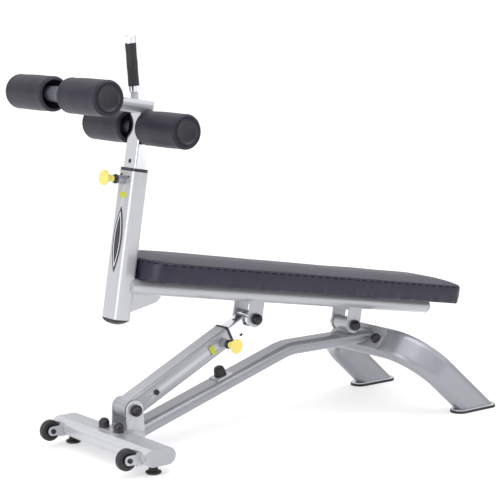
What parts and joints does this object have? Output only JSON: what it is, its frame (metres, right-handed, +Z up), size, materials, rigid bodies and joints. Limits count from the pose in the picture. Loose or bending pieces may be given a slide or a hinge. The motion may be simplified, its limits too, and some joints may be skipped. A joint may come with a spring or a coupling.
{
  "type": "adjustable decline sit-up bench",
  "caption": "Silver sit-up bench with a tilting black pad on a telescopic strut, and a post with foam leg rollers and a side handle.",
  "frame": {"origin": "on the floor, in the middle plane, halfway between the front of the upper rollers and the back of the rear feet", "axes": "+Z up, +X along the bench from the wheels and rollers to the rear feet, +Y across it"},
  "size_m": [1.5092, 0.538, 1.2013],
  "materials": {
    "frame_paint": "glossy silver-grey powder coat",
    "bolt_steel": "zinc plated",
    "chrome": "polished",
    "black_plastic": "satin moulded",
    "black_steel": "black oxide",
    "rubber": "matte",
    "tyre": "matte",
    "pad_vinyl": "fine-grained upholstery vinyl",
    "board": "black-painted plywood",
    "foam": "closed-cell foam with a smooth skin",
    "knob_yellow": "moulded"
  },
  "bodies": {
    "base": {"front_crossbar": "frame_paint", "crossbar_end_plates": "frame_paint", "saddle_plate": "frame_paint", "main_beam": "frame_paint", "wheel_forks": "frame_paint", "lower_clevis": "frame_paint", "base_bolts": "bolt_steel", "base_bolt_caps": "black_plastic", "bumper_plate": "frame_paint", "bumper": "rubber", "rear_leg": "frame_paint", "rear_joint_plate": "frame_paint", "rear_foot_plates": "bolt_steel", "rear_foot_pads": "rubber", "hinge_tube": "frame_paint"},
    "leveller_near": {"leveller_near": "rubber"},
    "leveller_far": {"leveller_far": "rubber"},
    "wheel_near": {"wheel_near": "tyre"},
    "wheel_far": {"wheel_far": "tyre"},
    "seat": {"seat_beam": "frame_paint", "seat_beam_plug": "black_plastic", "post_tube": "frame_paint", "post_gusset": "frame_paint", "post_plug": "black_plastic", "post_collar": "black_plastic", "post_screws": "bolt_steel", "post_badge": "black_plastic", "pad": "pad_vinyl", "pad_board": "board", "strut_clevis": "frame_paint", "hinge_clevis": "frame_paint", "seat_bolts": "bolt_steel", "seat_bolt_caps": "black_plastic", "post_pin_housing": "frame_paint"},
    "post_pull_pin": {"post_pin": "bolt_steel", "post_knob": "knob_yellow"},
    "head": {"head_post": "chrome", "head_arm": "frame_paint", "axle_sleeve": "frame_paint", "roller_axles": "bolt_steel", "handle_stem": "frame_paint", "handle_grip": "rubber", "handle_rings": "chrome"},
    "roller_upper_near": {"roller_upper_near": "foam", "roller_upper_near_hub": "black_plastic"},
    "roller_upper_far": {"roller_upper_far": "foam", "roller_upper_far_hub": "black_plastic"},
    "roller_lower_near": {"roller_lower_near": "foam", "roller_lower_near_hub": "black_plastic"},
    "roller_lower_far": {"roller_lower_far": "foam", "roller_lower_far_hub": "black_plastic"},
    "strut": {"strut_tube": "frame_paint", "strut_collar": "black_plastic", "strut_stop_bolt": "black_steel", "strut_pin_housing": "frame_paint"},
    "slider": {"slider_tube": "chrome", "slider_stop": "black_steel"},
    "strut_pull_pin": {"strut_pin": "bolt_steel", "strut_knob": "knob_yellow"}
  },
  "joints": [
    {"name": "seat_tilt", "type": "hinge", "parent": "base", "child": "seat", "pos_m": [0.32702, 0, 0.2843], "axis": [0, 1, 0], "range_deg": [-9.3, 5.7]},
    {"name": "strut_swing", "type": "hinge", "parent": "base", "child": "strut", "pos_m": [-0.50608, 0, 0.1373], "axis": [0, -1, 0], "range_deg": [-6.56, 4.04]},
    {"name": "strut_extend", "type": "slide", "parent": "strut", "child": "slider", "axis": [0.8991, 0, 0.4378], "range_m": [-0.0353, 0.0218]},
    {"name": "strut_pin_pull", "type": "slide", "parent": "strut", "child": "strut_pull_pin", "axis": [0, -1, 0], "range_m": [0, 0.01], "stiffness_N_per_m": 400},
    {"name": "post_pin_pull", "type": "slide", "parent": "seat", "child": "post_pull_pin", "axis": [-0.9869, 0, 0.1616], "range_m": [0, 0.01], "stiffness_N_per_m": 400},
    {"name": "head_height", "type": "slide", "parent": "seat", "child": "head", "axis": [0.1616, 0, 0.9869], "range_m": [-0.055, 0.11]},
    {"name": "roller_upper_near_spin", "type": "hinge", "parent": "head", "child": "roller_upper_near", "pos_m": [-0.70562, 0, 1.04315], "axis": [0, 1, 0], "continuous": true},
    {"name": "roller_upper_far_spin", "type": "hinge", "parent": "head", "child": "roller_upper_far", "pos_m": [-0.70562, 0, 1.04315], "axis": [0, 1, 0], "continuous": true},
    {"name": "roller_lower_near_spin", "type": "hinge", "parent": "head", "child": "roller_lower_near", "pos_m": [-0.45377, 0, 0.94314], "axis": [0, 1, 0], "continuous": true},
    {"name": "roller_lower_far_spin", "type": "hinge", "parent": "head", "child": "roller_lower_far", "pos_m": [-0.45377, 0, 0.94314], "axis": [0, 1, 0], "continuous": true},
    {"name": "wheel_near_spin", "type": "hinge", "parent": "base", "child": "wheel_near", "pos_m": [-0.64538, -0.2, 0.052], "axis": [0, 1, 0], "continuous": true},
    {"name": "leveller_near_turn", "type": "hinge", "parent": "base", "child": "leveller_near", "pos_m": [-0.56038, -0.208, 0], "axis": [0, 0, 1], "continuous": true},
    {"name": "wheel_far_spin", "type": "hinge", "parent": "base", "child": "wheel_far", "pos_m": [-0.64538, 0.2, 0.052], "axis": [0, 1, 0], "continuous": true},
    {"name": "leveller_far_turn", "type": "hinge", "parent": "base", "child": "leveller_far", "pos_m": [-0.56038, 0.208, 0], "axis": [0, 0, 1], "continuous": true}
  ],
  "couplings": [
    {"joint": "strut_swing", "follows": "seat_tilt", "ratio": 0.7},
    {"joint": "strut_extend", "follows": "seat_tilt", "m_per_rad": 0.21486}
  ]
}
